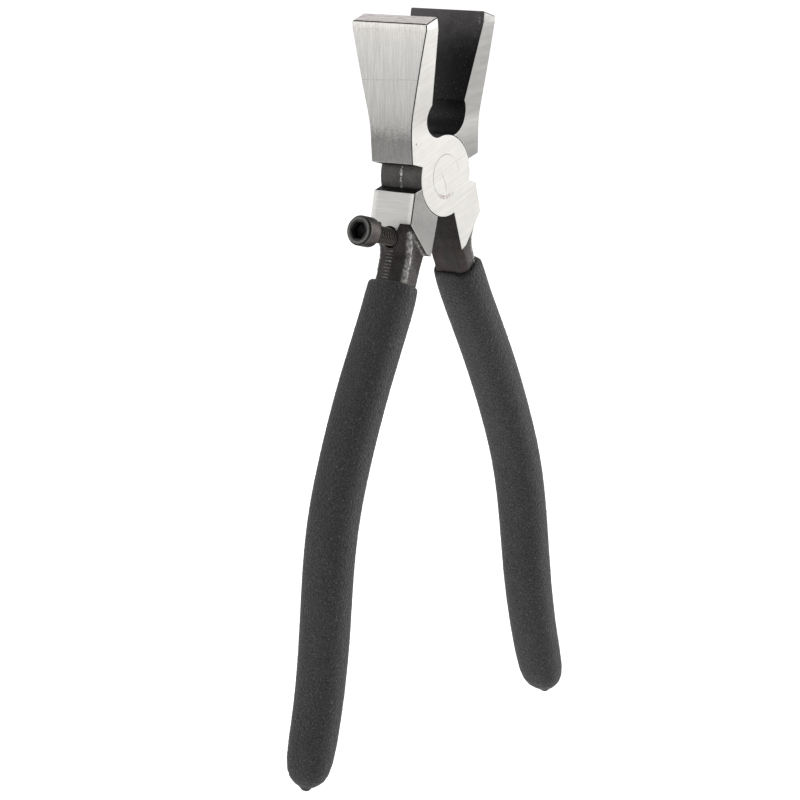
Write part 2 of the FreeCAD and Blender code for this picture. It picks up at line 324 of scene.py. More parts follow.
def jaw_outer_face():
    """Outer jaw face: drawn lines along the jaw, bright at the top, dark and pitted lower down."""
    s = Surface("jaw_outer_brushed")
    fine = s.grain((0.34, 0.34, 6.0), detail=3.0, rough=0.6)
    broad = s.grain((1.1, 1.1, 16.0))
    speck = s.grain(0.55, detail=3.0, rough=0.65)
    stops = [
        (3.5, grey(0.40)),
        (7.0, grey(0.35)),
        (11.0, grey(0.33)),
        (15.0, grey(0.56)),
        (22.0, grey(0.66)),
        (38.0, grey(0.76)),
        (41.8, grey(0.84, 0.05)),
        (43.0, grey(1.00, 0.06)),
    ]
    wobble = s.product(s.swing_of(s.grain(2.5), 5.0), s.step(s.z, 12.0, 18.0, 1.0, 0.0))
    tone = s.ramp(s.math("ADD", s.z, wobble), stops)
    lines = s.product(s.wave_of(fine, 0.85), s.wave_of(broad, 0.30))
    pitted = s.product(s.step(s.z, 7.0, 13.0, 0.55, 1.0), s.step(s.z, 11.0, 18.0, 1.0, 0.12))
    dark_specks = s.product(s.step(speck, 0.48, 0.62), pitted, 0.50)
    top_chips = s.product(s.step(s.z, 39.5, 43.0), s.step(speck, 0.50, 0.60), 0.16)
    witness = s.band(s.z, s.step(s.y, -9.0, 9.0, 28.4, 27.7), 0.06, 0.14)
    witness = s.product(witness, s.step(broad, 0.40, 0.52), 0.30)
    tone = s.shade(tone, lines)
    tone = s.mix(dark_specks, tone, grey(0.12))
    tone = s.mix(top_chips, tone, grey(0.25))
    tone = s.mix(witness, tone, grey(0.20))
    roughness = s.step(fine, 0.2, 0.8, 0.36, 0.50)
    rough_low = s.product(speck, pitted)
    return s.finish(tone, roughness, 0.90, s.total(fine, rough_low), 0.014)


def block_outer_face():
    """Outer shoulder face: ground across, brighter beside its edges."""
    s = Surface("shoulder_outer_brushed")
    fine = s.grain((7.0, 7.0, 0.32), detail=3.0, rough=0.6)
    broad = s.grain((12.0, 12.0, 0.9))
    edge = s.step(s.math("ABSOLUTE", s.y), HALF_THICK - 2.2, HALF_THICK - 0.4, 0.0, 0.30)
    lines = s.product(s.wave_of(fine, 0.60), s.wave_of(broad, 0.25))
    lines = s.math("ADD", lines, edge)
    tone = s.shade(grey(0.69), lines)
    return s.finish(tone, s.step(fine, 0.2, 0.8, 0.36, 0.48), 0.90, fine, 0.012)


def block_side_face():
    """Side of the shoulder behind the other disc: even satin grey with a soft mottle."""
    s = Surface("shoulder_side_satin")
    mottle = s.grain(0.8, detail=3.0, rough=0.6)
    cloud = s.grain(4.5)
    lines = s.grain((16.0, 1.0, 0.5), (0, -24, 0))
    tone = s.shade(grey(0.38), s.product(s.wave_of(mottle, 0.55), s.wave_of(cloud, 0.40)))
    tone = s.shade(tone, s.wave_of(lines, 0.10))
    return s.finish(tone, s.step(mottle, 0.2, 0.8, 0.42, 0.55), 0.88, mottle, 0.010)


def jaw_side_face():
    """Side of the jaw behind the other disc: faint lines across, greyer towards the joint."""
    s = Surface("jaw_side_brushed")
    fine = s.grain((6.0, 6.0, 0.45), (0, 4, 0), 3.0, 0.6)
    broad = s.grain((14.0, 14.0, 1.9), (0, 4, 0))
    stops = [
        (3.0, grey(0.30)),
        (9.0, grey(0.38)),
        (15.0, grey(0.58)),
        (24.0, grey(0.52)),
        (36.0, grey(0.54)),
        (45.0, grey(0.60)),
    ]
    tone = s.shade(s.ramp(s.z, stops), s.product(s.wave_of(fine, 0.34), s.wave_of(broad, 0.42)))
    return s.finish(tone, s.step(fine, 0.2, 0.8, 0.36, 0.48), 0.90, fine, 0.010)


def jaw_top_face():
    """Top of the jaw: brownish, dull, with rough lines along the jaw's width."""
    s = Surface("jaw_top_dull")
    fine = s.grain((0.5, 3.0, 0.5), detail=3.0, rough=0.65)
    tone = s.mix(s.step(fine, 0.3, 0.7), (0.56, 0.53, 0.52), (0.88, 0.83, 0.82))
    return s.finish(tone, 0.55, 0.80, fine, 0.02)


def oxide_skin():
    """Black oxide inside the jaws: pitted, near black in the hollow, with painted light that makes
    it greyer towards the top and lighter towards one side.
    """
    s = Surface("black_oxide_skin")
    speck = s.grain(0.50, detail=3.0, rough=0.65)
    cloud = s.grain(3.5)
    # Painted light: the skin is painted greyer towards the top and lighter towards one side,
    # standing in for the bright surroundings it reflects.
    rub_and_painted_light = s.step(s.math("ADD", s.z, s.swing_of(cloud, 9.0)), 31.0, 46.0)
    tone = s.mix(rub_and_painted_light, (0.0160, 0.0155, 0.0155), (0.122, 0.114, 0.114))
    painted_side_light = s.product(s.step(s.y, -9.0, 7.0, 1.0, 0.0), s.step(s.z, 6.0, 14.0), 0.020)
    tone = s.shade(s.lighten(tone, painted_side_light), s.wave_of(speck, 1.9))
    corner = s.product(s.step(s.y, 8.5, 11.5), s.step(s.z, 37.5, 43.0))
    flecks = s.product(s.step(s.grain((0.35, 0.9, 0.30)), 0.56, 0.66), corner, 0.55)
    sparks = s.product(s.step(s.grain(0.42, detail=0.0), 0.74, 0.80), 0.30)
    tone = s.mix(flecks, tone, grey(0.62))
    tone = s.mix(sparks, tone, grey(0.42))
    return s.finish(tone, s.step(speck, 0.3, 0.7, 0.40, 0.62), 0.55, speck, 0.05)


def rim_skin():
    """Turned rim of the lap discs in black scale, with a torn bright burr at the lap."""
    s = Surface("disc_rim_skin")
    speck = s.grain(0.45, detail=3.0, rough=0.65)
    cloud = s.grain(2.4)
    tone = s.shade(grey(0.105, 0.05), s.product(s.wave_of(speck, 1.3), s.wave_of(cloud, 0.9)))
    shifted = s.math("ADD", s.y, s.swing_of(s.grain((0.8, 0.8, 0.5)), 1.0))
    burr = s.product(s.step(shifted, -0.42, -0.22), s.step(s.grain((0.9, 0.9, 0.5)), 0.44, 0.56))
    tone = s.mix(s.product(burr, 0.9), tone, grey(0.80))
    return s.finish(tone, 0.46, 0.60, speck, 0.05)


def forging_skin():
    """Brown-black hammered skin on the arms; high spots are rubbed to bare steel, and the ridge
    along the outer corners is painted bright as a highlight, with painted glints.
    """
    s = Surface("forging_skin")
    speck = s.grain(0.42, detail=4.0, rough=0.68)
    cloud = s.grain(2.8)
    heat = s.grain(4.0)
    tone = s.mix(s.step(heat, 0.42, 0.62), (0.066, 0.060, 0.059), (0.072, 0.060, 0.057))
    tone = s.shade(tone, s.product(s.wave_of(speck, 1.8), s.wave_of(cloud, 0.9)))
    tone = s.shade(tone, s.step(s.z, -33.0, -20.0, 1.7, 1.0))
    # This attribute is partly real rubbing and partly a painted highlight along the arm's corner
    # ridge; the bright sparks on it are painted glints.
    wear_and_highlight = s.attribute("wear_and_highlight")
    rub_and_painted_light = s.step(s.math("ADD", wear_and_highlight, s.swing_of(speck, 0.9)), 0.15, 0.95)
    sparks = s.product(s.step(s.product(wear_and_highlight, s.grain(0.30, detail=1.0)), 0.40, 0.54), 0.8)
    tone = s.mix(s.product(rub_and_painted_light, 0.85), tone, grey(0.37, 0.04))
    tone = s.mix(sparks, tone, grey(0.90, 0.02))
    roughness = s.step(wear_and_highlight, 0.0, 1.0, 0.50, 0.36)
    return s.finish(tone, roughness, 0.75, s.total(speck, cloud), 0.09)


def scale_edge():
    """Black scale left in the chamfers beside the outer faces, thinning lower on the jaw."""
    s = Surface("edge_scale")
    speck = s.grain(0.6, detail=2.0)
    tone = s.mix(s.step(speck, 0.45, 0.65), grey(0.030, 0.1), grey(0.075, 0.1))
    jaw = s.product(s.step(s.z, 4.0, 20.0, 0.65, 0.0), s.step(s.z, 2.0, 3.0))
    tone = s.mix(jaw, tone, grey(0.26))
    return s.finish(tone, 0.5, 0.6, speck, 0.02)


def lap_face():
    """The lap faces inside the joint."""
    s = Surface("lap_ground")
    fine = s.grain((14.0, 1.0, 0.4), (0, 30, 0), 3.0, 0.6)
    tone = s.shade(grey(0.45), s.wave_of(fine, 0.4))
    return s.finish(tone, 0.45, 0.9, fine, 0.012)


def highlight_round():
    """Painted highlight on the small rounds of the ground edges: bright steel colour standing in
    for light caught along them.
    """
    s = Surface("highlight_round")
    speck = s.grain(0.7, detail=2.0)
    tone = s.shade(grey(0.86, 0.02), s.wave_of(speck, 0.35))
    return s.finish(tone, 0.32, 0.95, speck, 0.01)


def screw_oxide():
    """Black oxide screw: worn grey face ring and rims, dark thread with a painted highlight on its
    crests and painted shade inside the socket; the head is at +Z.
    """
    s = Surface("screw_black_oxide")
    speck = s.grain(0.32, detail=3.0, rough=0.65)
    cloud = s.grain(1.8)
    radius = s.length_of(s.x, s.y)
    head = s.step(s.z, -0.15, 0.1)
    brown = s.step(cloud, 0.42, 0.62)
    side = s.mix(brown, (0.130, 0.116, 0.112), (0.160, 0.128, 0.118))
    tone = s.mix(head, (0.022, 0.020, 0.019), side)
    # Painted highlight along the thread's crests.
    crest_highlight = s.product(s.step(radius, 2.34, 2.47), s.step(radius, 2.6, 2.8, 1.0, 0.0), 0.85)
    tone = s.mix(crest_highlight, tone, (0.34, 0.31, 0.28))
    ring = s.product(s.step(s.z, 4.90, 4.98), s.band(radius, 3.42, 0.26, 0.22))
    ring = s.product(ring, s.step(speck, 0.34, 0.60, 0.35, 1.0))
    tone = s.mix(s.step(s.z, 4.35, 4.50), tone, grey(0.045))
    tone = s.mix(s.product(ring, 0.75), tone, grey(0.26))
    rim = s.product(s.band(s.z, 4.36, 0.05, 0.12), s.step(radius, 4.15, 4.22), 0.75)
    tone = s.mix(rim, tone, grey(0.34))
    # Painted shade deep inside the hex socket.
    socket_shade = s.product(s.step(s.z, 3.4, 4.9, 1.0, 0.0), s.step(radius, 2.45, 2.75, 1.0, 0.0), head)
    tone = s.mix(socket_shade, tone, grey(0.012))
    tone = s.shade(tone, s.wave_of(speck, 0.7))
    return s.finish(tone, s.step(speck, 0.3, 0.7, 0.34, 0.50), 0.75, speck, 0.03)


def foam_vinyl(name):
    """Matte charcoal foam vinyl with a finely pebbled skin, a few pale specks and painted shade in
    the gap under the collar's lip.
    """
    s = Surface(name)
    pebble = s.cells(0.55)
    fine = s.grain(0.40, detail=3.0, rough=0.6)
    cloud = s.grain(7.0)
    relief = s.total(s.product(pebble, 0.8), s.product(fine, 0.6))
    domes = s.product(s.wave_of(pebble, -1.1), s.wave_of(fine, 2.4))
    tone = s.shade((0.050, 0.0485, 0.0492), domes)
    tone = s.shade(tone, s.wave_of(cloud, 0.45))
    specks = s.product(s.step(s.grain(0.45, detail=0.0), 0.68, 0.78), 0.50)
    tone = s.mix(specks, tone, grey(0.26))
    # Painted shade: near black in the gap between the collar's lip and the arm.
    tone = s.mix(s.attribute("mouth_shade"), tone, grey(0.006))
    edge = {"Sheen_Weight": 0.25, "Sheen_Roughness": 0.5, "Specular_IOR_Level": 0.48}
    return s.finish(tone, s.step(fine, 0.3, 0.7, 0.44, 0.66), 0.0, relief, 0.34, **edge)


# ---------------------------------------------------------------- the steel halves

FINISHES = {
    "joint_face": joint_face("joint_face_ground"),
    "jaw_side": jaw_side_face(),
    "block_side": block_side_face(),
    "jaw_outer": jaw_outer_face(),
    "block_outer": block_outer_face(),
    "jaw_top": jaw_top_face(),
    "oxide": oxide_skin(),
    "rim": rim_skin(),
    "forged": forging_skin(),
    "scale_edge": scale_edge(),
    "highlight_round": highlight_round(),
    "lap": lap_face(),
}
FINISH_ORDER = list(FINISHES)
SKINS = {FINISH_ORDER.index(finish) for finish in ("oxide", "rim", "forged")}
SKIN_TURN = math.radians(50)     # an edge that turns more than this is shaded sharp
GROUND_TURN = math.radians(14)
GROUND = {"joint_face", "jaw_side", "block_side", "jaw_outer", "block_outer", "jaw_top"}
SCALE_EDGES = [
    {"jaw_outer", "joint_face"},
    {"jaw_outer", "jaw_side"},
    {"jaw_outer", "jaw_top"},
    {"block_outer", "joint_face"},
    {"block_outer", "block_side"},
]


def finish_of(face):
    """Which finish a face of a half has, from its place and its normal in the half's space."""
    centre = face.calc_center_median() / MM
    n = face.normal
    if abs(n.y) > 0.9 and abs(centre.y) > HALF_THICK - 0.02:
        if n.y < 0:
            return "joint_face"
        return "jaw_side" if centre.x < 0 else "block_side"
    if abs(n.y) > 0.99 and abs(centre.y - LAP_Y) < 0.02:
        return "lap"
    if centre.z > JAW_TOP_Z and n.z > 0.8:
        return "jaw_top"
    if centre.z > JAW_FOOT_Z and centre.x < JAW_INNER_X and n.x < -0.9:
        return "jaw_outer"
    normal, reach = BLOCK_PLANE
    on_plane = abs(centre.dot(normal) - reach) < 0.03 and n.dot(normal) > 0.999
    if on_plane and centre.z > BLOCK_LOW_Z:
        return "block_outer"
    radius = math.hypot(centre.x, centre.z)
    if abs(radius - DISC_R) < 0.15 and centre.y < 0 and abs(n.y) < 0.1:
        return "rim"
    if centre.x > 0 and centre.z < ARM_TOP_Z:
        return "forged"
    return "oxide"


def index_of(finish):
    return FINISH_ORDER.index(finish)


def edge_finishes(edge):
    return {FINISH_ORDER[face.material_index] for face in edge.link_faces}


def bevel(bm, edges, width, segments, finish):
    bmesh.ops.bevel(
        bm,
        geom=edges,
        offset=width * MM,
        offset_type="OFFSET",
        affect="EDGES",
        segments=segments,
        profile=0.5,
        clamp_overlap=False,
        material=index_of(finish),
    )


def bevel_half(bm):
    """Scale-filled chamfers beside the outer faces, tiny rounds with a painted highlight on the
    other edges.
    """
    scale = [e for e in bm.edges if edge_finishes(e) in SCALE_EDGES]
    bevel(bm, scale, SCALE_EDGE, 1, "scale_edge")
    wear_and_highlight = []
    for edge in bm.edges:
        finishes = edge_finishes(edge)
        sharp = edge.calc_face_angle(0) > HIGHLIGHT_ROUND_TURN
        if sharp and len(finishes) == 2 and finishes & GROUND and "scale_edge" not in finishes:
            wear_and_highlight.append(edge)
    bevel(bm, wear_and_highlight, HIGHLIGHT_ROUND_WIDTH, 2, "highlight_round")


def refine(bm, finish, step, wanted):
    """Cuts a finish's faces into small triangles wherever wanted(centre in mm) is true."""
    index = index_of(finish)
    for _ in range(REFINE_ROUNDS):
        edges = set()
        for face in bm.faces:
            if face.material_index == index and wanted(face.calc_center_median() / MM):
                edges.update(e for e in face.edges if e.calc_length() > step * MM)
        if not edges:
            return
        bmesh.ops.subdivide_edges(bm, edges=list(edges), cuts=1, use_single_edge=True)
        triangulate(bm)


def triangulate(bm):
    many_sided = [f for f in bm.faces if len(f.verts) > 3]
    bmesh.ops.triangulate(bm, faces=many_sided, quad_method="SHORT_EDGE", ngon_method="BEAUTY")


def join_flat_faces(bm):
    """Joins the triangles of each flat ground face, so that its outline can be bevelled."""
    ground = {index_of(finish) for finish in GROUND | {"lap"}}
    inside = []
    for edge in bm.edges:
        kinds = {f.material_index for f in edge.link_faces}
        if len(kinds) == 1 and kinds <= ground:
            inside.append(edge)
    flat = math.radians(0.4)
    bmesh.ops.dissolve_limit(bm, angle_limit=flat, verts=[], edges=inside, delimit={"MATERIAL"})


def clean(bm):
    """Triangles only, with nothing thinner than SLIVER and no loose edges."""
    bmesh.ops.dissolve_degenerate(bm, dist=SLIVER * MM, edges=bm.edges)
    triangulate(bm)
    bmesh.ops.dissolve_degenerate(bm, dist=SLIVER * MM, edges=bm.edges)
    loose = [e for e in bm.edges if not e.link_faces]
    bmesh.ops.delete(bm, geom=loose, context="EDGES")


def hammered(p):
    """Forging relief at a point in mm, about -1 to 1."""
    coarse = noise.noise(p * 0.50)
    middle = noise.noise(p * 1.25 + Vector((7, 3, 1)))
    fine = noise.noise(p * 2.9 + Vector((1, 9, 4)))
    return 0.5 * coarse + 0.45 * middle + 0.35 * fine


def arm_corner_tree(bm):
    """The line of points along the arm's rounded outer corners."""
    found = []
    for v in bm.verts:
        z = v.co.z / MM
        n = v.normal
        if COLLAR_LOW_Z < z < BLOCK_LOW_Z and 0.62 < abs(n.y) < 0.93 and n.x > 0.25:
            found.append(v.co.copy())
    tree = kdtree.KDTree(len(found))
    for i, co in enumerate(found):
        tree.insert(co, i)
    tree.balance()
    return tree


def skin_lift(vertex, finish, tree):
    """How far in mm the skin stands proud of the CAD surface here, and how bright it is painted:
    rubbed bare steel, and a painted highlight on the corner ridge.
    """
    p = vertex.co / MM
    n = vertex.normal
    if finish == "oxide":
        return 0.025 * hammered(p * 1.6), 0.0
    if finish == "rim":
        near_lap = smooth(p.y, LAP_Y - 0.7, LAP_Y - 0.1)
        torn = max(0.0, noise.noise(Vector((p.x * 1.9, 0, p.z * 1.9))) + 0.15)
        return 0.03 * hammered(p * 1.4) + 0.20 * near_lap * torn, 0.0
    visible = smooth(p.z, COLLAR_LOW_Z, COLLAR_LOW_Z + 2)
    lift = 0.10 * hammered(p)
    wear_and_highlight = 0.34 * smooth(abs(n.y), 0.75, 0.95) * smooth(p.x, 10.0, 14.0)
    if p.z < BLOCK_LOW_Z + 1.5:
        away = tree.find(vertex.co)[2] / MM
        ridge = 1 - smooth(away, 0.15, RIDGE_REACH)
        crumb = noise.noise(Vector((p.x * 1.6, p.y * 1.6, p.z * 1.1)))
        torn = 0.6 + 0.9 * crumb
        lift += RIDGE_HEIGHT * ridge * torn
        # The ridge's brightness is a painted highlight along the rough corner.
        wear_and_highlight = max(wear_and_highlight, ridge * (0.62 + 0.38 * smooth(torn, 0.2, 1.0)))
    on_flat = n.x > 0.88 and abs(p.y) < LADDER_HALF_WIDTH + 0.25 and p.z < LADDER_TOP_Z
    if on_flat:
        off_middle = abs(p.y + 0.25 * noise.noise(p * 0.9))
        across = 1 - smooth(off_middle, LADDER_HALF_WIDTH - 0.35, LADDER_HALF_WIDTH)
        beat = math.sin(2 * math.pi * p.z / LADDER_PITCH + 0.8 * noise.noise(p * 0.45))
        bar = smooth(beat, -0.25, 0.45) * across
        lift += LADDER_HEIGHT * bar
        wear_and_highlight = max(wear_and_highlight, bar * (0.50 + 0.35 * noise.noise(p * 1.2)))
    return lift * visible, wear_and_highlight


def roughen(bm):
    """Moves the vertices inside the skins along their normals; ground faces stay true."""
    layer = bm.verts.layers.float.new("wear_and_highlight")
    bm.normal_update()
    tree = arm_corner_tree(bm)
    moves = []
    for v in bm.verts:
        kinds = {f.material_index for f in v.link_faces}
        in_bore = math.hypot(v.co.x, v.co.z) < RIVET_REACH * MM
        if in_bore or not kinds <= SKINS:
            continue
        finish = "forged" if index_of("forged") in kinds else FINISH_ORDER[min(kinds)]
        lift, wear_and_highlight = skin_lift(v, finish, tree)
        moves.append((v, v.normal * lift * MM))
        v[layer] = wear_and_highlight
    for v, move in moves:
        v.co += move


def open_hole_mouths(bm, axis_point, axis):
    """Widens the tapped hole where it leaves the arm, so that a dark gap shows at the screw."""
    for v in bm.verts:
        away = v.co - axis_point
        radial = away - axis * away.dot(axis)
        if abs(radial.length / MM - BORE_R) > 0.05:
            continue
        on_skin = any(abs(f.normal.dot(axis)) > 0.4 for f in v.link_faces)
        if on_skin:
            v.co += radial.normalized() * (MOUTH_R - BORE_R) * MM


def set_shading(bm):
    """Smooth faces with sharp edges kept where the surface really turns."""
    for face in bm.faces:
        face.smooth = True
    for edge in bm.edges:
        kinds = {f.material_index for f in edge.link_faces}
        limit = SKIN_TURN if kinds <= SKINS else GROUND_TURN
        edge.smooth = edge.calc_face_angle(0) < limit


def new_piece(name, bm, matrix, materials):
    mesh = bpy.data.meshes.new(name)
    bm.to_mesh(mesh)
    bm.free()
    for material in materials:
        mesh.materials.append(material)
    piece = bpy.data.objects.new(name, mesh)
    bpy.context.scene.collection.objects.link(piece)
    piece.matrix_world = matrix
    return piece


def steel_half(node, piece_name, hole=None):
    """One half, worked up from its CAD shape."""
    space = HALF_SPACE[node]
    bm = bmesh.new()
    bm.from_mesh(frame["nodes"][node].data)
    bmesh.ops.transform(bm, matrix=space.inverted(), verts=bm.verts)
    bmesh.ops.remove_doubles(bm, verts=bm.verts, dist=WELD * MM)
    if hole:
        axis_point, axis = hole
        local = space.inverted()
        open_hole_mouths(bm, local @ axis_point, (local.to_3x3() @ axis).normalized())
    for face in bm.faces:
        face.material_index = index_of(finish_of(face))
    join_flat_faces(bm)
    bevel_half(bm)
    clean(bm)
    refine(bm, "forged", SKIN_STEP, lambda p: p.z > COLLAR_LOW_Z)
    refine(bm, "forged", LADDER_STEP, on_ladder)
    refine(bm, "rim", SKIN_STEP, lambda p: True)
    refine(bm, "oxide", OXIDE_STEP, lambda p: math.hypot(p.x, p.z) > RIVET_REACH)
    roughen(bm)
    set_shading(bm)
    piece = new_piece(piece_name, bm, space, FINISHES.values())
    piece.modifiers.new("even_shading", "WEIGHTED_NORMAL").keep_sharp = True
    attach(piece, node)
    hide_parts(node)
    return piece


def on_ladder(p):
    """Whether a point in mm is on the trimmed flat that carries the ladder of tool marks."""
    away = abs(p.dot(BLOCK_PLANE[0]) - BLOCK_PLANE[1])
    along = COLLAR_LOW_Z + 3.0 < p.z < LADDER_TOP_Z + 0.6
    return along and abs(p.y) < LADDER_HALF_WIDTH + 0.45 and p.x > 14.0 and away < 4.0


# ---------------------------------------------------------------- the adjusting screw

SCREW_LENGTH = 20.0
PITCH = 0.8
CREST_R = 2.48
ROOT_R = 2.02
HEX_HALF = 2.0               # half the socket's width across flats
SEGMENTS = 60
ROWS_PER_TURN = 14
HEAD_RINGS = [               # radius and height, from the shank up and over the rim
    (2.70, 0.0),
    (4.00, 0.0),
    (4.20, 0.10),
    (4.25, 0.30),
    (4.25, 2.3),
    (4.25, 4.30),
    (4.19, 4.42),
    (3.92, 4.88),
    (3.80, 4.97),
    (3.66, 5.0),
    (3.20, 5.0),
]
SOCKET_RINGS = [             # share of the hexagon's size, and height
    (1.22, 5.0),
    (1.16, 4.95),
    (1.07, 4.60),
    (1.00, 2.60),
    (0.90, 2.42),
    (0.45, 2.05),
]


def screw_axis():
    """A point at the screw's tip, and the direction it travels inwards."""
    joint = next(j for j in frame["joints"] if j["name"] == "screw_travel")
    axis = Vector(joint["axis"]).normalized()
    points = [v.co for v in frame["nodes"]["adjusting_screw"].data.vertices]
    reach = max(p.dot(axis) for p in points)
    tip = [p for p in points if p.dot(axis) > reach - 0.01 * MM]
    return sum(tip, Vector()) / len(tip), axis


def thread_radius(z, turn):
    """The radius of the thread's surface at height z; turn is 0 to 1 around the screw."""
    phase = (-z / PITCH + turn) % 1.0
    off_crest = abs(phase - 0.5) * 2
    groove = min(1.0, max(0.0, (off_crest - 0.12) / 0.68))
    radius = CREST_R - (CREST_R - ROOT_R) * groove
    radius = ROOT_R + (radius - ROOT_R) * smooth(-z, 0.1, 0.9)
    tip = ROOT_R - 0.15 + (z + SCREW_LENGTH)
    return min(radius, tip)


def hexagon_radius(turn):
    """Distance from the axis to the hexagon's outline."""
    angle = (turn * 2 * math.pi) % (math.pi / 3) - math.pi / 6
    return HEX_HALF / math.cos(angle)


def screw_rings():
    """Rings of (radius per segment, height) from the tip to the bottom of the socket."""
    turns = [i / SEGMENTS for i in range(SEGMENTS)]
    rings = []
    rows = round(SCREW_LENGTH / PITCH * ROWS_PER_TURN)
    for row in range(rows + 1):
        z = -SCREW_LENGTH + SCREW_LENGTH * row / rows
        rings.append(([thread_radius(z, t) for t in turns], z))
    for radius, z in HEAD_RINGS:
        rings.append(([radius] * SEGMENTS, z))
    for share, z in SOCKET_RINGS:
        rings.append(([share * hexagon_radius(t) for t in turns], z))
    return rings


def skin_rings(bm, rings, centres):
    """Faces between neighbouring rings of vertices, and a fan of faces at each end."""
    rows = []
    for radii, z in rings:
        row = []
        for i, radius in enumerate(radii):
            angle = 2 * math.pi * i / len(radii)
            place = Vector((radius * math.cos(angle), radius * math.sin(angle), z))
            row.append(bm.verts.new(place * MM))
        rows.append(row)
    for low, high in zip(rows, rows[1:]):
        for i in range(SEGMENTS):
            j = (i + 1) % SEGMENTS
            bm.faces.new((low[i], low[j], high[j], high[i]))
    for row, z, outward in zip((rows[0], rows[-1]), centres, (False, True)):
        middle = bm.verts.new(Vector((0, 0, z)) * MM)
        for i in range(SEGMENTS):
            pair = (row[i], row[(i + 1) % SEGMENTS])
            pair = pair if outward else pair[::-1]
            bm.faces.new((*pair, middle))


def adjusting_screw():
    tip, axis = screw_axis()
    bm = bmesh.new()
    skin_rings(bm, screw_rings(), (-SCREW_LENGTH, 1.80))
    bmesh.ops.recalc_face_normals(bm, faces=bm.faces)
    for face in bm.faces:
        face.smooth = True
    for edge in bm.edges:
        edge.smooth = edge.calc_face_angle(0) < math.radians(38)
    seat = tip - axis * SCREW_LENGTH * MM
    turn = (-axis).to_track_quat("Z", "Y").to_matrix().to_4x4()
    matrix = Matrix.Translation(seat) @ turn
    piece = new_piece("adjusting_screw_m5", bm, matrix, [screw_oxide()])
    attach(piece, "adjusting_screw")
    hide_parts("adjusting_screw")
    return piece


# ---------------------------------------------------------------- the foam grips

GRIP_VOXEL = 0.34
PEBBLE = 0.95
PEBBLE_HEIGHT = 0.07
COLLAR_GAP = 0.42            # the collar's mouth stands this far off the arm
COLLAR_DEPTH = 1.1
COLLAR_REACH = 14.0          # the lip is within this height of the sleeve's top
ARM_SLOPE = 0.40             # how far the arms lean outwards where they enter the grips


def remeshed(node, voxel):
    """The CAD node's shape as an even mesh of small quads."""
    source = frame["nodes"][node].data.copy()
    holder = bpy.data.objects.new("remesh", source)
    bpy.context.scene.collection.objects.link(holder)
    modifier = holder.modifiers.new("remesh", "REMESH")
    modifier.mode = "VOXEL"
    modifier.voxel_size = voxel * MM
    depsgraph = bpy.context.evaluated_depsgraph_get()
    bm = bmesh.new()
    bm.from_object(holder, depsgraph)
    bpy.data.objects.remove(holder)
    return bm


def pebbles(p):
    """Domed pebble relief at a point in mm, from about -0.5 to 0.5."""
    near, next_near = noise.voronoi(p / PEBBLE)[0][:2]
    dome = min(1.0, (next_near - near) * 1.7)
    return dome - 0.5 + 0.6 * noise.noise(p * 1.9)


def foam_grip(node, arm_node, piece_name):
    """A dipped sleeve: even skin, rounded lip standing off the arm, pebbled outside."""
    bm = remeshed(node, GRIP_VOXEL)
    for _ in range(3):
        axes = {"use_axis_x": True, "use_axis_y": True, "use_axis_z": True}
        bmesh.ops.smooth_vert(bm, verts=bm.verts, factor=0.5, **axes)
    bm.normal_update()
    arm = bmesh.new()
    arm.from_mesh(frame["nodes"][arm_node].data)
    arm_tree = BVHTree.FromBMesh(arm)
    arm.free()
    lip = lip_plane(node)
    top = max(v.co.z for v in bm.verts) / MM
    mouth_shade = bm.verts.layers.float.new("mouth_shade")
    moves = []
    for v in bm.verts:
        p = v.co / MM
        on_arm, _, _, away = arm_tree.find_nearest(v.co)
        away /= MM
        move = Vector()
        if away > 0.75:
            move += v.normal * PEBBLE_HEIGHT * pebbles(p)
        if p.z > top - COLLAR_REACH:
            below_lip = (lip[0] - v.co).dot(lip[1]) / MM
            near_lip = 1 - smooth(below_lip, 0.8, 2.4)
            # Painted shade: marks the vinyl near the lip that faces the arm, to be coloured near
            # black.
            v[mouth_shade] = near_lip * (1 - smooth(away, 0.60, 1.20))
            move += collar_move(v, on_arm, away, below_lip)
        moves.append((v, move * MM))
    for v, move in moves:
        v.co += move
    for face in bm.faces:
        face.smooth = True
    piece = new_piece(piece_name, bm, Matrix.Identity(4), [foam_vinyl(piece_name + "_vinyl")])
    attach(piece, arm_node)
    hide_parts(node)
    return piece


def collar_move(vertex, on_arm, away, below_lip):
    """Opens the sleeve's mouth: a vertex that lies against the arm near the lip moves off it."""
    open_share = 1 - smooth(below_lip, COLLAR_DEPTH * 0.4, COLLAR_DEPTH)
    if open_share <= 0 or away > COLLAR_GAP:
        return Vector()
    outward = vertex.co - on_arm
    if vertex.normal.dot(outward) > 0:
        outward = -vertex.normal
    return outward.normalized() * (COLLAR_GAP - away) * open_share


def lip_plane(node):
    """A point in the plane of a sleeve's lip, and the way the arm points up through it."""
    points = [v.co for v in frame["nodes"][node].data.vertices]
    lean = ARM_SLOPE if node == "left_grip" else -ARM_SLOPE
    along = Vector((lean, 0, math.sqrt(1 - ARM_SLOPE ** 2)))
    reach = max(p.dot(along) for p in points)
    edge = [p for p in points if p.dot(along) > reach - 0.6 * MM]
    return sum(edge, Vector()) / len(edge), along


# ---------------------------------------------------------------- floor, light and camera

SURROUND_STRENGTH = 0.26     # what the steel and foam see around them
FLOOR_GLOW = 0.12
FLOOR_GLOW_SEEN = 0.85       # what the camera sees of it, so that the paper is white
FLOOR_HALF_SIZE = 6.0
CAMERA_AZIMUTH = 53.08       # degrees from the front view towards -X
CAMERA_ELEVATION = 11.55
CAMERA_ROLL = -0.64
CAMERA_DISTANCE = 0.9223
CAMERA_TARGET = Vector((-0.0129, 0.00733, -0.0628))
SENSOR_WIDTH = 36.0
FOCAL_LENGTH = 146.9


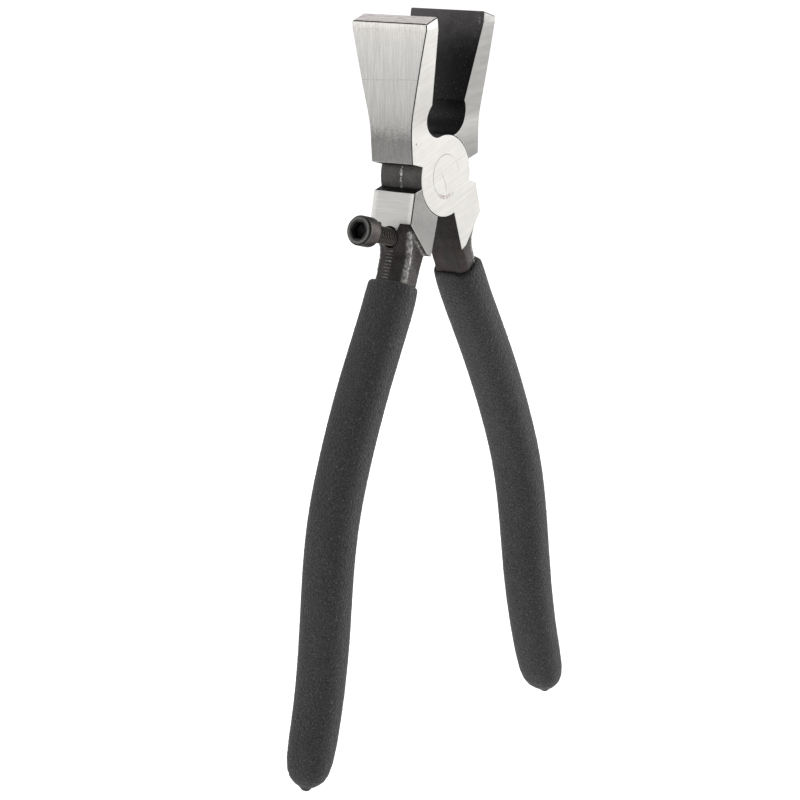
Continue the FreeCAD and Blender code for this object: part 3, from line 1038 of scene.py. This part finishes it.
def camera():
    azimuth = math.radians(CAMERA_AZIMUTH)
    elevation = math.radians(CAMERA_ELEVATION)
    back = Vector((
        -math.sin(azimuth) * math.cos(elevation),
        -math.cos(azimuth) * math.cos(elevation),
        math.sin(elevation),
    ))
    right = Vector((math.cos(azimuth), -math.sin(azimuth), 0))
    up = back.cross(right)
    roll = Matrix.Rotation(math.radians(CAMERA_ROLL), 3, "Z")
    turn = Matrix((right, up, back)).transposed() @ roll
    data = bpy.data.cameras.new("camera")
    data.sensor_width = SENSOR_WIDTH
    data.lens = FOCAL_LENGTH
    data.clip_end = 20
    holder = bpy.data.objects.new("camera", data)
    bpy.context.scene.collection.objects.link(holder)
    holder.matrix_world = Matrix.Translation(CAMERA_TARGET + back * CAMERA_DISTANCE) @ turn.to_4x4()
    bpy.context.scene.camera = holder


def area_light(name, direction, distance, size, power):
    """A square soft box aimed at the joint from a direction."""
    data = bpy.data.lights.new(name, "AREA")
    data.size = size
    data.energy = power
    holder = bpy.data.objects.new(name, data)
    bpy.context.scene.collection.objects.link(holder)
    direction = Vector(direction).normalized()
    turn = direction.to_track_quat("Z", "Y").to_matrix().to_4x4()
    holder.matrix_world = Matrix.Translation(direction * distance) @ turn


def studio_world():
    """White to the camera, a softer grey surround to everything else."""
    world = bpy.data.worlds.new("studio")
    world.use_nodes = True
    nodes = world.node_tree.nodes
    links = world.node_tree.links
    background = nodes["Background"]
    path = nodes.new("ShaderNodeLightPath")
    strength = nodes.new("ShaderNodeMapRange")
    strength.inputs["To Min"].default_value = SURROUND_STRENGTH
    strength.inputs["To Max"].default_value = 1.0
    links.new(path.outputs["Is Camera Ray"], strength.inputs["Value"])
    links.new(strength.outputs[0], background.inputs["Strength"])
    background.inputs["Color"].default_value = (1, 1, 1, 1)
    bpy.context.scene.world = world


def floor():
    """A wide pale sweep just below the lowest place that a swinging grip reaches."""
    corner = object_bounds()[0]
    low = -math.hypot(corner.x, corner.z) - 0.6 * MM
    bm = bmesh.new()
    bmesh.ops.create_grid(bm, x_segments=8, y_segments=8, size=FLOOR_HALF_SIZE)
    s = Surface("floor_paper")
    tone = s.shade((0.93, 0.93, 0.93), s.wave_of(s.grain(40.0), 0.02))
    seen = s.nodes.new("ShaderNodeLightPath").outputs["Is Camera Ray"]
    strength = s.step(seen, 0.0, 1.0, FLOOR_GLOW, FLOOR_GLOW_SEEN)
    glow = {"Emission_Color": (1, 1, 1), "Emission_Strength": strength, "Specular_IOR_Level": 0.0}
    material = s.finish(tone, 0.9, 0.0, **glow)
    sweep = new_piece("floor", bm, Matrix.Translation((0, 0, low)), [material])
    sweep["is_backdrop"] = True


# ---------------------------------------------------------------- build

steel_half("front_half", "front_half_steel")
steel_half("rear_half", "rear_half_steel", hole=screw_axis())
adjusting_screw()
foam_grip("left_grip", "rear_half", "left_grip_foam")
foam_grip("right_grip", "front_half", "right_grip_foam")

rivet = frame["nodes"]["pivot_rivet"]
rivet.data.materials.clear()
rivet.data.materials.append(joint_face("rivet_ground_flush", turned_behind=True))

floor()
studio_world()
area_light("front_soft", (0.80, -0.66, -0.06), 1.1, 1.7, 11.5)
area_light("side_soft", (-0.80, 0.52, 0.0), 1.2, 1.2, 3.9)
area_light("top_soft", (0.35, 0.35, 0.9), 1.1, 0.9, 3.4)
camera()
bpy.context.scene.view_settings.view_transform = "Standard"
